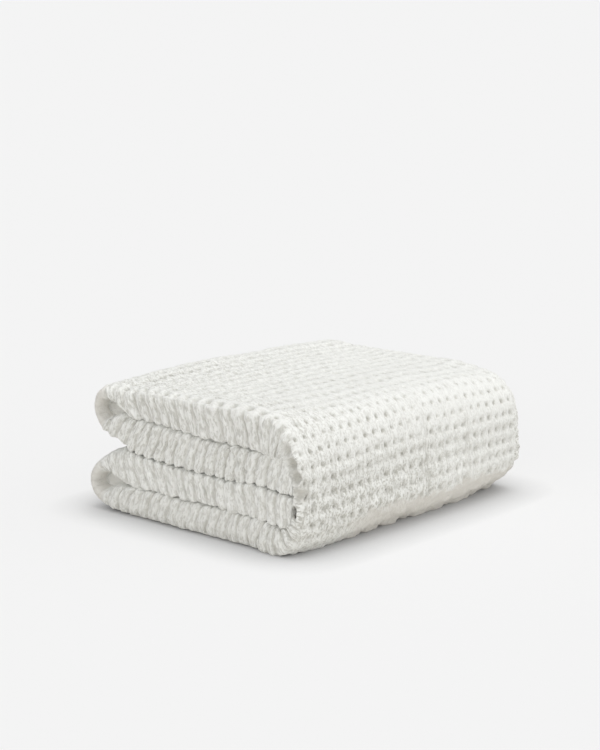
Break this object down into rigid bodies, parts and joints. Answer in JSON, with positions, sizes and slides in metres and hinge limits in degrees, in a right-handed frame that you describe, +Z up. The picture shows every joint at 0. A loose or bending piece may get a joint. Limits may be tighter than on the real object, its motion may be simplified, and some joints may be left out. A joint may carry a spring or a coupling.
{
  "type": "folded waffle comforter",
  "caption": "Puffy waffle-weave comforter folded into a neat low pile, with rounded folds showing on one side and a soft wrap over the other. Lies flat on a shelf or bed.",
  "frame": {"origin": "middle of the footprint, on the surface the comforter rests on", "axes": "+Z up, +X along the folded bands toward the big outer wrap, +Y across the bands away from the front edge"},
  "size_m": [0.566, 0.664, 0.2558],
  "materials": {
    "waffle_cloth": "matte warm-white waffle weave, slightly fuzzy"
  },
  "bodies": {
    "root": {"comforter": "waffle_cloth"}
  },
  "joints": []
}
